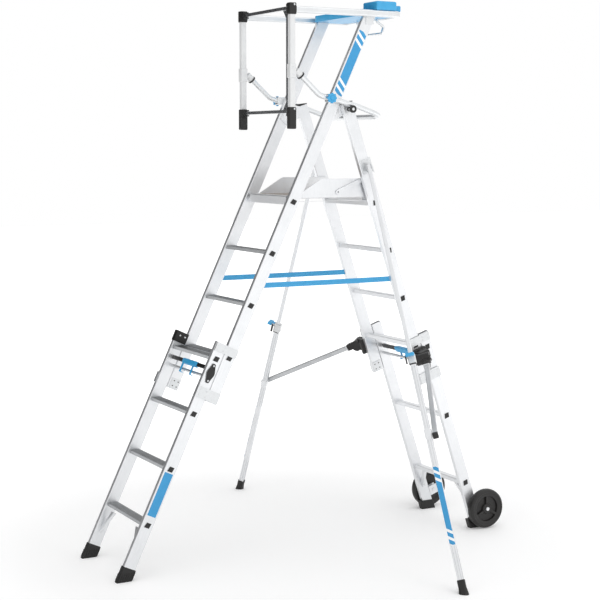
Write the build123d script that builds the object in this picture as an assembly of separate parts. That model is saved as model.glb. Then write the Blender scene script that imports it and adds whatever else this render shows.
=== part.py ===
from build123d import *
from math import atan2, cos, degrees, radians, sin, tan
import os

# Driving dimensions in millimetres. +X runs back to the wheels, +Z is up, and the near side is -Y.
front_lean = 25.35  # degrees between the climbing side and the vertical
rear_lean = 18.63
half_width = 255.0  # to the outer face of every stile
stile_depth = 65.0
stile_width = 26.0
stile_wall = 1.8
deck_line = (-75.4, 1854.8)  # X and Z of the platform's front pivot
rear_line = (416.8, 1843.5)  # X and Z of the bar that the platform rests on
front_pitch = 288.0
front_leg_pitch = 297.0
rear_pitch = 273.6
rear_leg_pitch = 414.5
front_leg_offset = -65.8  # the lower climbing section slides on the front of the upper one
rear_leg_offset = 67.0
front_leg_first = -894.0  # first tread of the lower section, along the stile from the pivot
rear_leg_first = -857.8
front_stile_span = (-1108.0, 1100.0)
front_leg_span = (-2060.0, -809.0)
rear_stile_span = (-1044.0, 545.0)
rear_leg_span = (-1945.0, -774.5)
stile_top_height = 2811.5
hinge_reach = 512.0  # the A-frame hinge, along the rear stile from the rest bar
guard_half_width = 274.0
post_x = -96.0
rail_height = 2823.0
rail_depth = 34.0
rail_width = 28.0
post_side = 30.0
gate_pivot_y = -243.0
mid_rail_radius = 14.0
rail_bend = (66.0, 2397.0)  # X and Z where the mid rail turns level
rail_dip = (290.0, 2344.0)
rail_back = (449.0, 2292.0)  # X and Z of the mid rail's rear run
knob_place = (125.0, 2383.04)
deck_top = 1885.0
toe_board_top = 1970.0
tray_span = (322.0, 531.0)  # X of the tool tray's basin
bin_span = (397.0, 520.0)
bin_top = 2887.0
platform_rear = 400.0
link_foot = (207.0, 1900.0)
link_head = (338.9, 1956.0)
strap_height = 1433.9
wheel_centre = (1136.0, 113.0)
wheel_radius = 110.5
wheel_inner_face = 262.5
wheel_outer_face = 308.0
strut_top = (360.0, -285.0, 2030.0)
strut_foot = (336.0, -1210.0, 0.0)
strut_side = 21.0
outrigger_side = 29.0
clamp_reach = 1050.0
strut_reach = 1500.0
brace_reach = 1440.0  # where the brace meets the outrigger, from its top pivot
brace_side = 25.0
brace_layers = (20.0, 34.0)  # how far the brace's root and tip stand off the strut, along the swing axis
brace_root = (685.7, -345.0, 1005.0)
brace_turn = 48  # degrees that the brace folds through
housing_radius = 31.0
pin_radius = 7.0  # the pin that the brace turns on
lever_pivot = (clamp_reach - 14, -28.0)  # along the strut and across it
lever_pin = 2.5  # radius
fit_gap = 0.05  # radial running clearance of every pin

frame_shift = -89.86  # from midway between the soles to the middle of the overall length

inner_face = half_width - stile_width
brace_room = brace_side / 2 + 1.6  # half the slot that the brace swings in


def leaning(origin_x, origin_z, lean, offset=0.0):
    angle = radians(lean)
    across = Vector(cos(angle), 0, -sin(angle))
    along = Vector(sin(angle), 0, cos(angle))
    return Plane(origin=Vector(origin_x, 0, origin_z) + across * offset, x_dir=across, z_dir=along)


front = leaning(*deck_line, front_lean)
front_leg = leaning(*deck_line, front_lean, front_leg_offset)
rear = leaning(*rear_line, -rear_lean)
rear_leg = leaning(*rear_line, -rear_lean, rear_leg_offset)


def block(x, y, z, plane=Plane.XY, radius=0.0):
    centre = Pos((x[0] + x[1]) / 2, (y[0] + y[1]) / 2, (z[0] + z[1]) / 2)
    body = Box(x[1] - x[0], y[1] - y[0], z[1] - z[0])
    if radius:
        body = fillet(body.edges(), radius)
    return plane * centre * body


def across(sketch, y, plane=Plane.XY):
    flat = Plane.XZ.offset(-y[0]) * sketch
    return plane * extrude(flat, y[1] - y[0], dir=(0, 1, 0))


def outline(*points):
    return make_face(Polyline(*points, close=True))


def disc(place, radius, y, plane=Plane.XY):
    return across(Pos(*place) * Circle(radius), y, plane)


def both(body):
    return [body, mirror(body, about=Plane.XZ)]


def pipe(points, radius, bend, wall):
    path = FilletPolyline(*points, radius=bend)
    ring = Circle(radius) - Circle(radius - wall)
    return sweep(Plane(origin=path @ 0, z_dir=path % 0) * ring, path=path)


def tube(depth, width, wall, corner):
    hollow = RectangleRounded(depth - 2 * wall, width - 2 * wall, max(corner - wall, 0.4))
    return RectangleRounded(depth, width, corner) - hollow


def stile(plane, span):
    place = Pos(0, half_width - stile_width / 2, span[0])
    profile = tube(stile_depth, stile_width, stile_wall, 3.5)
    return plane * place * extrude(profile, span[1] - span[0])


def local(plane, reach, offset=0.0):
    point = plane.from_local_coords((offset, 0, reach))
    return point.X, point.Z


def tread(place):
    x, z = place
    plate = [(-23, 12), (31, 12), (31, 2), (28.5, 2), (28.5, 9), (-20.5, 9), (-20.5, -2),
             (-14, -2), (-14, -4.5), (-23, -4.5)]
    body = across(Pos(x, z) * outline(*plate), (-inner_face, inner_face))
    ribs = [across(Pos(x + shift, z + 12.6) * Rectangle(3, 1.2), (-inner_face + 4, inner_face - 4))
            for shift in range(-18, 29, 8)]
    return body + ribs


def cross_bar(place, width=40.0, height=24.0):
    profile = Pos(*place) * tube(width, height, 1.8, 3)
    return across(profile, (-inner_face, inner_face))


def plug(plane, reach, rise=13.0):
    face = outline((-15, reach - rise), (12, reach - rise), (16, reach + rise), (-9, reach + rise))
    return across(face, (half_width, half_width + 2.8), plane)


def reaches(first, pitch, count):
    return [first - pitch * index for index in range(count)]


def save(name, pieces):
    bodies = pieces if isinstance(pieces, list) else [pieces]
    solids = [solid for body in bodies for solid in body.solids()]
    export_step(Pos(frame_shift, 0, 0) * Compound(children=solids), f"parts/{name}.step")


# Climbing side, upper section


def front_stiles():
    headroom = block((-2000, 2000), (-400, 400), (stile_top_height, stile_top_height + 400))
    return both(stile(front, front_stile_span) - headroom)


def front_upper_treads():
    return [tread(local(front, reach)) for reach in reaches(-front_pitch, front_pitch, 3)]


def front_upper_plugs():
    return [side for reach in reaches(0, front_pitch, 4) for side in both(plug(front, reach))]


def platform_pivot_rod():
    profile = Pos(*deck_line) * (Circle(10) - Circle(7))
    return across(profile, (-inner_face, inner_face))


def section_guide(plane, u, w, flange_u, pad_u, inner_u):
    plate = block(u, (half_width + 4, half_width + 7), w, plane)
    pad = block(pad_u, (half_width, half_width + 4), w, plane)
    flange = block(flange_u, (half_width - 17, half_width + 7), (w[0], w[1] - 4), plane)
    backing = block(inner_u, (inner_face - 3, inner_face), w, plane)
    rivets = [disc(((pad_u[0] + pad_u[1]) / 2, reach), 4, (half_width + 7, half_width + 8.5), plane)
              for reach in (w[0] + 14, w[1] - 14)]
    return both(plate + pad + flange + rivets) + both(backing)


def front_section_guides():
    return section_guide(front, (-102, 31), (-1105, -1048), (-102, -99), (-31, 31), (-22, 31))


def hinge_place():
    return local(rear, hinge_reach)


def frame_hinge_plates():
    x, z = hinge_place()
    root_low = local(front, 468, -18)
    root_high = local(front, 560, -18)
    reach_low = local(front, 452, 28)
    round_pin = [(x - 4, z - 22), (x + 14, z - 17), (x + 20, z + 4), (x + 4, z + 20)]
    link = outline(root_low, reach_low, *round_pin, root_high)
    plate = across(link, (inner_face - 4.5, inner_face - 0.3))
    pad = block((-20, 26), (inner_face - 2, inner_face), (472, 548), front)
    pin = disc((x, z), 8, (inner_face - 4.5, guard_half_width + 14.3))
    return both(plate + pad + pin)


def frame_hinge_caps():
    x, z = hinge_place()
    cap = disc((x, z), 19, (guard_half_width + 14.8, guard_half_width + 26)) - disc(
        (x, z), 8, (guard_half_width, guard_half_width + 18))
    collar = disc((x, z), 12, (half_width + 0.5, half_width + 4)) - disc(
        (x, z), 8, (half_width, half_width + 5))
    return both(cap) + both(collar)


# Guard cage


def guard_top_rail():
    y = guard_half_width
    front_end = post_x + 22
    back = 560
    path = FilletPolyline((front_end, -y, rail_height), (back, -y, rail_height),
                          (back, y, rail_height), (front_end, y, rail_height), radius=58)
    profile = tube(rail_width, rail_depth, 2, 8)
    plane = Plane(origin=path @ 0, x_dir=(0, 1, 0), z_dir=path % 0)
    return sweep(plane * profile, path=path)


def mid_rail_route():
    y = guard_half_width
    near = [(post_x + 26, -y, 2517.7)] + [(x, -y, z) for x, z in (rail_bend, rail_dip, rail_back)]
    return near + [(x, -side, z) for x, side, z in reversed(near)]


def guard_mid_rail():
    return pipe(mid_rail_route(), mid_rail_radius, 72, 2)


def guard_posts():
    profile = tube(post_side, post_side, 2, 5)
    post = Pos(post_x, guard_half_width, 2335) * extrude(profile, 2797 - 2335)
    return both(post)


gate_x = (post_x - 11, post_x + 11)
gate_z = (2306.0, 2838.0)
gate_bar = 16.0


def guard_blocks():
    y = (half_width + 2, guard_half_width + 17)
    x = (post_x - 20, post_x + 20)
    top = block(x, y, (2797, 2855), radius=4) - block((post_x + 20.5, 100), (0, 400), (2700, 2900))
    foot = block(x, y, (2225, 2335), radius=6)
    nub = block((post_x + 17, post_x + 22), (guard_half_width - 14, guard_half_width + 14), (2807, 2839))
    top = top + nub
    arm_y = (-gate_pivot_y - 9, half_width + 6)
    arm_x = (post_x - 11, post_x + 11)
    top_arm = block(arm_x, arm_y, (gate_z[1] + 1, 2852), radius=2)
    foot_arm = block(arm_x, arm_y, (2290, gate_z[0] - 1), radius=2)
    pin_hole = disc_up((post_x, -gate_pivot_y), 4 + fit_gap, (2285, 2856))
    near_top = mirror(top + top_arm - pin_hole, about=Plane.XZ)
    near_foot = mirror(foot + foot_arm - pin_hole, about=Plane.XZ)
    prong_y = (226, half_width + 6)
    prong_x = (post_x - 20, post_x + 12)
    stop_x = (post_x - 20, post_x - 12)
    far_top = top + fork(prong_x, prong_y, stop_x, gate_z[1] - gate_bar / 2)
    far_foot = foot + fork(prong_x, prong_y, stop_x, gate_z[0] + gate_bar / 2)
    return [near_top, near_foot, far_top, far_foot]


def fork(x, y, stop_x, height):
    low = block(x, y, (height - 17, height - 10))
    high = block(x, y, (height + 10, height + 17))
    return low + high + block(stop_x, y, (height - 17, height + 17))


def disc_up(place, radius, z):
    return Pos(place[0], place[1], z[0]) * extrude(Circle(radius), z[1] - z[0])


def mid_rail_tees():
    y = guard_half_width
    post = Pos(post_x, y, 2400) * extrude(RectangleRounded(post_side, post_side, 5), 250)
    wrap = block((post_x - 18, post_x + 19), (y - 18, y + 18), (2482, 2552), radius=3) - post
    start = Vector(post_x + 26, y, 2517.7)
    axis = (Vector(rail_bend[0], y, rail_bend[1]) - start).normalized()
    plane = Plane(origin=start - axis * 2, z_dir=axis)
    socket = plane * extrude(Circle(mid_rail_radius + 4), 38)
    rail = plane * extrude(Circle(mid_rail_radius + fit_gap), 60)
    return both(wrap + (socket - post) - (Pos(axis * 2) * rail))


def tool_tray():
    middle = (tray_span[0] + tray_span[1]) / 2
    length = tray_span[1] - tray_span[0]
    basin = Pos(middle, 0, 2812) * extrude(RectangleRounded(length, 508, 38), 33)
    basin = basin - Pos(middle, 0, 2817) * extrude(RectangleRounded(length - 16, 492, 30), 40)
    bin_outer = block(bin_span, (-292, -150), (2840.5, bin_top), radius=9)
    bin_inner = block((bin_span[0] + 8, bin_span[1] - 8), (-284, -158), (2846, bin_top + 20), radius=3)
    bin_floor = block(bin_span, (-254, -150), (2830, 2846))
    tab = block((541, 579), (-238, -192), (2841, 2872), radius=6)
    shelf = block((500, 545), (-224, -192), (2817, 2850))
    return basin + (bin_outer + bin_floor - bin_inner) + tab + shelf


def tray_hanger():
    route = [(517, -100, 2811.9), (517, -100, 2797), (558, -100, 2773), (547, -100, 2737)]
    route = route + [(x, -y, z) for x, y, z in reversed(route)]
    path = FilletPolyline(*route, radius=8)
    return sweep(Plane(origin=path @ 0, z_dir=path % 0) * Circle(7), path=path)


def guard_rail_clamps():
    x, z = knob_place
    y = guard_half_width
    slope = Vector(rail_dip[0] - rail_bend[0], 0, rail_dip[1] - rail_bend[1]).normalized()
    passage = Plane(origin=Vector(x, y, z) - slope * 80, z_dir=slope) * extrude(
        Circle(mid_rail_radius + fit_gap), 160)
    saddle = block((x - 18, x + 42), (half_width, y + 18), (z - 21, z + 21), radius=3) - passage
    saddle = saddle - disc((x, z), 6 + fit_gap, (y + 10, y + 30))
    top = block((352, 398), (half_width, y - rail_width / 2), (2768, 2838))
    return both(saddle) + both(top)


def guard_knob(side):
    x, z = knob_place
    y = guard_half_width + 18.3
    lobes = [Pos(x, z) * Rot(0, 0, turn) * Pos(21.5, 0) * Circle(5.5) for turn in range(0, 360, 45)]
    grip = across(Pos(x, z) * Circle(23) + lobes, (y, y + 13))
    stem = disc((x, z), 6, (y - 3, y))
    cap = disc((x, z), 11, (y + 13, y + 16))
    knob = grip + stem + cap
    return knob if side > 0 else mirror(knob, about=Plane.XZ)


def gate_frame():
    y = gate_pivot_y
    upright = block(gate_x, (y - 7, y + 7), gate_z) - block(
        (gate_x[0] + 2, gate_x[1] - 2), (y - 5, y + 5), (gate_z[0] + 3, gate_z[1] - 3))
    bars = []
    for low in (gate_z[0], gate_z[1] - gate_bar):
        bar = block(gate_x, (y + 7, 250), (low, low + gate_bar)) - block(
            (gate_x[0] + 2, gate_x[1] - 2), (y + 12, 247), (low + 2, low + gate_bar - 2))
        bars.append(bar)
    gusset_x = (post_x - 1.5, post_x + 1.5)
    low_z = gate_z[0] + gate_bar
    high_z = gate_z[1] - gate_bar
    for base, tip in ((low_z, low_z + 62), (high_z, high_z - 62)):
        triangle = make_face(Polyline((y + 7, base), (y + 58, base), (y + 7, tip), close=True))
        bars.append(extrude(Plane.YZ.offset(gusset_x[0]) * triangle, 3, dir=(1, 0, 0)))
    pins = [disc_up((post_x, y), 4, (gate_z[1], 2852)), disc_up((post_x, y), 4, (2290, gate_z[0]))]
    return upright + bars + pins


# Platform


def platform_deck():
    return block((-62, platform_rear), (-213, 213), (deck_top - 12, deck_top))


def toe_boards():
    edge = [(-30, deck_top - 12), (platform_rear, deck_top - 12), (platform_rear, toe_board_top - 6),
            (platform_rear - 6, toe_board_top), (118, toe_board_top), (104, toe_board_top - 4),
            (-26, deck_top + 3)]
    board = across(outline(*edge), (213.5, 217))
    lip = block((120, platform_rear - 6), (208, 213.5), (toe_board_top - 3.5, toe_board_top))
    rivet = disc((link_foot[0] + 14, link_foot[1] + 22), 5, (217, 219))
    return both(board + lip + rivet)


def platform_frame():
    x, z = deck_line
    nose = outline((x - 16, z - 15), (x + 13, z - 15), (x + 13, deck_top), (x - 12, deck_top),
                   (x - 16, deck_top - 5))
    cavity = Pos(x - 1, z + 21) * Rectangle(24, 12)
    nosing = across(nose - Pos(x, z) * Circle(10 + fit_gap) - cavity, (-205, 205))
    rails = both(across(Pos((x + 13 + platform_rear) / 2, deck_top - 22.5) * tube(
        platform_rear - x - 13, 20, 2, 2.5), (190, 205)))
    tail = block((platform_rear - 26, platform_rear), (-190, 190), (deck_top - 32, deck_top - 12.5))
    return [nosing + rails + tail]


def platform_links():
    foot = Vector(link_foot[0], link_foot[1])
    head = Vector(link_head[0], link_head[1])
    middle = (foot + head) * 0.5
    along = head - foot
    bar = Pos(middle.X, middle.Y) * Rot(0, 0, degrees(atan2(along.Y, along.X))) * SlotCenterToCenter(
        along.length, 24)
    plate = across(bar - Pos(foot.X, foot.Y) * Circle(5.5), (219.6, 223.4))
    stud = disc(link_head, 6, (223.4, inner_face - 0.4))
    return both(plate + stud)


# Support side, upper section


def rear_stiles():
    pivot = disc(hinge_place(), 8 + fit_gap, (0, 400))
    return both(stile(rear, rear_stile_span) - pivot)


def rear_cross_bars():
    rest = across(Pos(rear_line[0], rear_line[1] - 5) * tube(44, 28, 2, 3), (-inner_face, inner_face))
    bars = [cross_bar(local(rear, reach)) for reach in reaches(-rear_pitch, rear_pitch, 3)]
    return [rest] + bars


def rear_upper_plugs():
    plugs = [side for reach in reaches(0, rear_pitch, 4) for side in both(plug(rear, reach))]
    top = rear_stile_span[1]
    lid = outline((-33, top), (33, top), (33, top + 3), (-33, top + 17))
    caps = both(across(lid, (inner_face - 0.2, half_width + 0.6), rear))
    return plugs + caps


def rear_section_guides():
    return section_guide(rear, (-31, 103), (-1041, -984), (100.2, 103.2), (-31, 31), (-31, 22))


strut_vector = Vector(*strut_foot) - Vector(*strut_top)
strut_axis = strut_vector.normalized()
strut_length = strut_vector.length
stile_axis = Vector(sin(radians(rear_lean)), 0, -cos(radians(rear_lean)))
swing_axis = strut_axis.cross(stile_axis).normalized()
strut_plane = Plane(origin=strut_top, x_dir=strut_axis, z_dir=swing_axis)


def brace_ends():
    root = Vector(*brace_root)
    root = root + swing_axis * (brace_layers[0] - (root - Vector(*strut_top)).dot(swing_axis))
    tip = Vector(*strut_top) + strut_axis * brace_reach + swing_axis * brace_layers[1]
    return root, tip


def brace_plane():
    # turns with the brace: its Z is the pivot
    root, tip = brace_ends()
    reach = tip - root
    return Plane(origin=root, x_dir=reach - swing_axis * reach.dot(swing_axis), z_dir=swing_axis)


def rear_place(point):
    place = rear.to_local_coords(Vector(point[0], 0, point[2]))
    return place.X, place.Z


def stabiliser_bracket():
    u = rear_place(strut_top)
    base = block((u[0] - 30, u[0] + 34), (-half_width - 4, -half_width), (u[1] - 34, u[1] + 44), rear)
    room = block((-500, 1500), (-half_width - 90, -half_width - 3), (1500, 2500))
    cheeks = [block((-15, 15), (-13, 60), (low, low + 3)) for low in (-14.4, 11.4)]
    ear = strut_plane * (cheeks[0] + cheeks[1])
    ears = ear & room
    pin = strut_plane * Pos(0, 0, -15) * extrude(Circle(5), 30)
    rivets = [disc((u[0] + shift, u[1] + 34), 5, (-half_width - 6, -half_width - 4), rear)
              for shift in (-16, 18)]
    return base + ears + pin + rivets


def stabiliser_brackets():
    return both(stabiliser_bracket())


def brace_housing(plane):
    # two round cheeks joined round the back, open where the brace swings
    body = Pos(0, 0, -50) * extrude(Circle(housing_radius), 50 + brace_room + 8)
    slot = Circle(25) + [Rot(0, 0, turn) * Pos(50, 0) * Rectangle(100, 2 * brace_room + 1)
                         for turn in range(0, brace_turn + 1, 16)]
    room = Pos(0, 0, -brace_room) * extrude(slot, 2 * brace_room)
    pin = Pos(0, 0, -20) * extrude(Circle(pin_radius), 20 + brace_room)
    dome = Pos(0, 0, brace_room + 8) * extrude(Circle(13), 4)
    return plane * (body - room + pin + dome)


def brace_blocks():
    plane = brace_plane()
    _, w = rear_place((plane.origin.X, 0, plane.origin.Z))
    seat = block((-36, 33), (-half_width - 76, -half_width), (w - 36, w + 34), rear, radius=9)
    wing = block((-52, 46), (-half_width - 20, -half_width), (w - 46, w + 40), rear, radius=7)
    outside = block((-2000, 2000), (-half_width - 200, -half_width - 2), (0, 2500))
    swept = Circle(25) + [Rot(0, 0, turn) * Pos(150, 0) * Rectangle(300, 2 * brace_room + 1)
                          for turn in range(0, brace_turn + 1, 8)]
    clear = plane * Pos(0, 0, -brace_room) * extrude(swept, 2 * brace_room)
    return both((brace_housing(plane) & outside) + (seat + wing - clear))


# Climbing side, lower section


def front_leg_stiles():
    return both(stile(front_leg, front_leg_span))


def front_leg_treads():
    return [tread(local(front_leg, reach)) for reach in reaches(front_leg_first, front_leg_pitch, 4)]


def front_leg_plugs():
    places = reaches(front_leg_first, front_leg_pitch, 4)
    return [side for reach in places for side in both(plug(front_leg, reach))]


def lock_rod(plane, first, offset):
    return across(Pos(*local(plane, first - 98, offset)) * (Circle(8) - Circle(6)), (-inner_face, inner_face))


def leg_guide(plane, u, w, pad_u):
    plate = block(u, (half_width + 4, half_width + 7), w, plane)
    pad = block(pad_u, (half_width, half_width + 4), w, plane)
    return both(plate + pad)


def front_leg_guides():
    plates = leg_guide(front_leg, (-31, 98), (-856, -811), (-31, 31))
    return plates + [lock_rod(front_leg, front_leg_first, 6)]


def lock_covers():
    centre = front_leg_first - 77
    half_lozenge = [(-9, 42), (9, 42), (21, 6), (21, -6), (9, -42), (-9, -42), (-21, -6), (-21, 6)]
    lozenge = outline(*[(x, centre + rise) for x, rise in half_lozenge])
    ends = [Pos(0, centre + shift) * Circle(9.5) for shift in (-42, 42)]
    cover = across(lozenge + ends, (-half_width - 7, -half_width), front_leg)
    screws = [disc((0, centre + shift), 5, (-half_width - 8.5, -half_width - 7), front_leg)
              for shift in (-40, 40)]
    low, high = front_leg_first + 28, front_leg_first + 86
    plate = block((-37.5, 34), (inner_face - 10, inner_face), (low, high), front_leg)
    lip = block((-37.5, -32.5), (inner_face - 4, half_width - 2), (low, high), front_leg)
    heads = [disc((shift, high - 22), 5, (inner_face - 11.5, inner_face - 10), front_leg)
             for shift in (-13, 17)]
    return [cover + screws, plate + lip + heads]


def foot_shoe(plane, span, u, top, height):
    floor_cut = block((-3000, 3000), (0, 600), (-600, 0))
    shoe = block(u, (inner_face - 4, half_width + 4), (span[0] - 90, span[0] + top), plane, radius=5)
    pocket = plane * Pos(0, half_width - stile_width / 2, span[0]) * extrude(
        RectangleRounded(stile_depth, stile_width, 3.5), 400)
    lid = block((-3000, 3000), (0, 600), (height, 900)) if height else None
    shoe = shoe - floor_cut - pocket
    return shoe - lid if lid else shoe


def front_feet():
    return both(foot_shoe(front_leg, front_leg_span, (-36, 37), 48, 0))


def knee(plane, reach, drop, thick):
    face = make_face(Polyline((150, reach), (178, reach), (inner_face, reach - drop + 34),
                              (inner_face, reach - drop), close=True))
    flat = Plane.YZ.offset(-thick / 2) * face
    return both(plane * extrude(flat, thick, dir=(1, 0, 0)))


def front_knee_braces():
    return knee(front_leg, front_leg_first - 3 * front_leg_pitch - 31, 130, 16)


def release_handle(plane, reach, lean_sign):
    bar = block((-8, 8), (-inner_face + 3, inner_face - 3), (reach - 14, reach + 8), plane, radius=2)
    grip = block((-13, 13), (-75, 75), (reach - 20, reach + 11), plane, radius=4)
    hooks = []
    for y in (-62, 62):
        stem = block((-12, -8.5), (y - 9, y + 9), (reach - 62, reach - 12), plane)
        toe = block((-12, 2), (y - 9, y + 9), (reach - 66, reach - 62), plane)
        hooks.append(stem + toe)
    body = bar + grip + hooks
    return body if lean_sign > 0 else mirror(body, about=Plane(plane.origin, z_dir=plane.x_dir))


def front_release():
    return release_handle(front_leg, front_leg_first - 52, 1)


# Support side, lower section


def rear_leg_stiles():
    return both(stile(rear_leg, rear_leg_span))


def rear_leg_bars():
    return [cross_bar(local(rear_leg, reach)) for reach in reaches(rear_leg_first, rear_leg_pitch, 3)]


def rear_leg_plugs():
    places = reaches(rear_leg_first, rear_leg_pitch, 3)
    return [side for reach in places for side in both(plug(rear_leg, reach))]


def rear_leg_guides():
    plates = leg_guide(rear_leg, (-98, 31), (-822, -777), (-31, 31))
    return plates + [lock_rod(rear_leg, rear_leg_first, -6)]


def rear_feet():
    return both(foot_shoe(rear_leg, rear_leg_span, (-50, 36), 90, 52))


def rear_knee_braces():
    return knee(rear_leg, rear_leg_first - 2 * rear_leg_pitch - 18, 120, 16)


def wheel_brackets():
    place = rear_leg.to_local_coords(Vector(wheel_centre[0], 0, wheel_centre[1]))
    u = (stile_depth / 2, place.X + 24)
    w = (place.Z - 28, place.Z + 28)
    y = (inner_face, half_width)
    room = block((u[0] + 3, u[1] + 5), (y[0] + 3, y[1] - 3), (w[0] - 9, w[1] + 9), rear_leg)
    shell = block(u, y, w, rear_leg) - room
    axle = disc(wheel_centre, 10, (inner_face - 5, wheel_outer_face + 4))
    washer = disc(wheel_centre, 16, (half_width, wheel_inner_face - 0.4))
    return both(shell + axle + washer)


def rear_release():
    return release_handle(rear_leg, rear_leg_first - 52, -1)


def wheel(side):
    inner, outer = wheel_inner_face, wheel_outer_face
    middle = (inner + outer) / 2
    half = (outer - inner) / 2
    r = wheel_radius
    outer_half = [(10 + fit_gap, half), (24, half), (26, half - 8), (78, half - 12), (86, half - 3),
                  (r - 9, half - 1), (r - 2, half - 9), (r, half - 18)]
    inner_half = [(reach, -level) for reach, level in reversed(outer_half)]
    profile = outline(*outer_half, *inner_half)
    body = revolve(Plane.XY * profile, Axis.Y)
    pocket = Pos(52, 0) * SlotOverall(52, 28, rotation=90)
    for turn in (30, 150, 270):
        cut = across(Rot(0, 0, turn) * pocket, (half - 24, half + 1))
        body = body - cut
    placed = Pos(wheel_centre[0], middle, wheel_centre[1]) * body
    return placed if side > 0 else mirror(placed, about=Plane.XZ)


# Stabilisers, modelled on the near side and mirrored to the far side


def sided(body, side):
    return mirror(body, about=Plane.XZ) if side > 0 else body


def along_strut(start, end, profile):
    return strut_plane * Rot(0, 90, 0) * Pos(0, 0, start) * extrude(profile, end - start)


outrigger_profile = RectangleRounded(outrigger_side, outrigger_side, 3)


def stabiliser_strut():
    rod = along_strut(-12, strut_reach, tube(strut_side, strut_side, 1.8, 3))
    return rod - strut_plane * Pos(0, 0, -20) * extrude(Circle(5 + fit_gap), 40)


def outrigger_tube():
    leg = along_strut(clamp_reach, strut_length - 46, tube(outrigger_side, outrigger_side, 1.8, 3))
    sleeve = tube(outrigger_side + 6, outrigger_side + 6, 3, 3.5)
    saddle = along_strut(brace_reach - 22, brace_reach + 22, sleeve)
    return leg + (saddle - along_strut(clamp_reach, strut_length, outrigger_profile))


def stabiliser_clamp():
    top, bottom = clamp_reach - 22, clamp_reach + 24
    collar = along_strut(top, bottom, RectangleRounded(38, 38, 6))
    low_bore = along_strut(clamp_reach, bottom + 5, outrigger_profile)
    top_bore = along_strut(top - 5, clamp_reach + 1, RectangleRounded(strut_side + 0.8, strut_side + 0.8, 3))
    lugs = [strut_plane * block((lever_pivot[0] - 5, lever_pivot[0] + 5), (-33, -17), (low, low + 5))
            for low in (-18, 13)]
    hole = strut_plane * Pos(*lever_pivot, 0) * Cylinder(lever_pin + fit_gap, 60)
    return collar + lugs - low_bore - top_bore - hole


def clamp_lever():
    hub = Cylinder(5, 25)
    pin = Cylinder(lever_pin, 37)
    paddle = block((-8, 8), (-33, -8), (-22, 22), radius=3)
    neck = block((-4, 4), (-12, -3), (-12, 12))
    return strut_plane * Pos(*lever_pivot, 0) * (hub + pin + paddle + neck)


def outrigger_foot():
    collar = along_strut(strut_length - 66, strut_length - 30, RectangleRounded(38, 38, 9))
    flare = strut_plane * Rot(0, 90, 0) * Pos(0, 0, strut_length - 32) * extrude(
        RectangleRounded(38, 38, 12), 50, taper=-8)
    bore = along_strut(strut_length - 200, strut_length - 46, outrigger_profile)
    ground = block((-500, 900), (-1800, 0), (-100, 0))
    return collar + flare - ground - bore


def stabiliser_brace():
    root, tip = brace_ends()
    bar = Plane(origin=root, x_dir=(tip - root).cross(swing_axis), z_dir=tip - root)
    length = (tip - root).length
    rod = bar * Pos(0, 0, -14) * extrude(tube(brace_side, brace_side, 1.8, 3), length + 30)
    cap = bar * Pos(0, 0, length + 16) * extrude(RectangleRounded(27, 27, 3), 16)
    plug_end = bar * Pos(0, 0, -20) * extrude(RectangleRounded(brace_side, brace_side, 3), 6)
    hole = brace_plane() * Pos(0, 0, -30) * extrude(Circle(pin_radius + fit_gap), 60)
    return rod + cap + plug_end - hole


def spreader_straps():
    heights = (strap_height - 12.5, strap_height + 12.5)
    edge = stile_depth / 2 + 0.4
    front_edge = deck_line[0] + edge / cos(radians(front_lean))
    rear_edge = rear_line[0] - edge / cos(radians(rear_lean))
    front_ends = [front_edge + (z - deck_line[1]) * tan(radians(front_lean)) for z in heights]
    rear_ends = [rear_edge + (rear_line[1] - z) * tan(radians(rear_lean)) for z in heights]
    band = outline((front_ends[0], heights[0]), (rear_ends[0], heights[0]), (rear_ends[1], heights[1]),
                   (front_ends[1], heights[1]))
    return both(across(band, (half_width - 19, half_width - 16.5)))


def main():
    os.makedirs("parts", exist_ok=True)
    single = [front_stiles, front_upper_treads, front_upper_plugs, platform_pivot_rod, front_section_guides,
              frame_hinge_plates, frame_hinge_caps, guard_top_rail, guard_mid_rail, guard_posts, guard_blocks,
              mid_rail_tees, tool_tray, tray_hanger, guard_rail_clamps, gate_frame, platform_deck, toe_boards,
              platform_frame, platform_links, rear_stiles, rear_cross_bars, rear_upper_plugs,
              rear_section_guides, stabiliser_brackets, brace_blocks, front_leg_stiles, front_leg_treads,
              front_leg_plugs, front_leg_guides, lock_covers, front_feet, front_knee_braces, front_release,
              rear_leg_stiles, rear_leg_bars, rear_leg_plugs, rear_leg_guides, rear_feet, rear_knee_braces,
              wheel_brackets, rear_release, spreader_straps]
    for make in single:
        save(make.__name__, make())
    stabiliser = [stabiliser_strut, outrigger_tube, stabiliser_clamp, clamp_lever, outrigger_foot,
                  stabiliser_brace]
    for side, label in ((-1, "near"), (1, "far")):
        save(f"guard_knob_{label}", guard_knob(side))
        save(f"wheel_{label}", wheel(side))
        for make in stabiliser:
            save(f"{make.__name__}_{label}", sided(make(), side))


main()
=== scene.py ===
import bpy
import bmesh
from math import cos, pi, radians, sin, tan
from mathutils import Matrix, Vector


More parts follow.
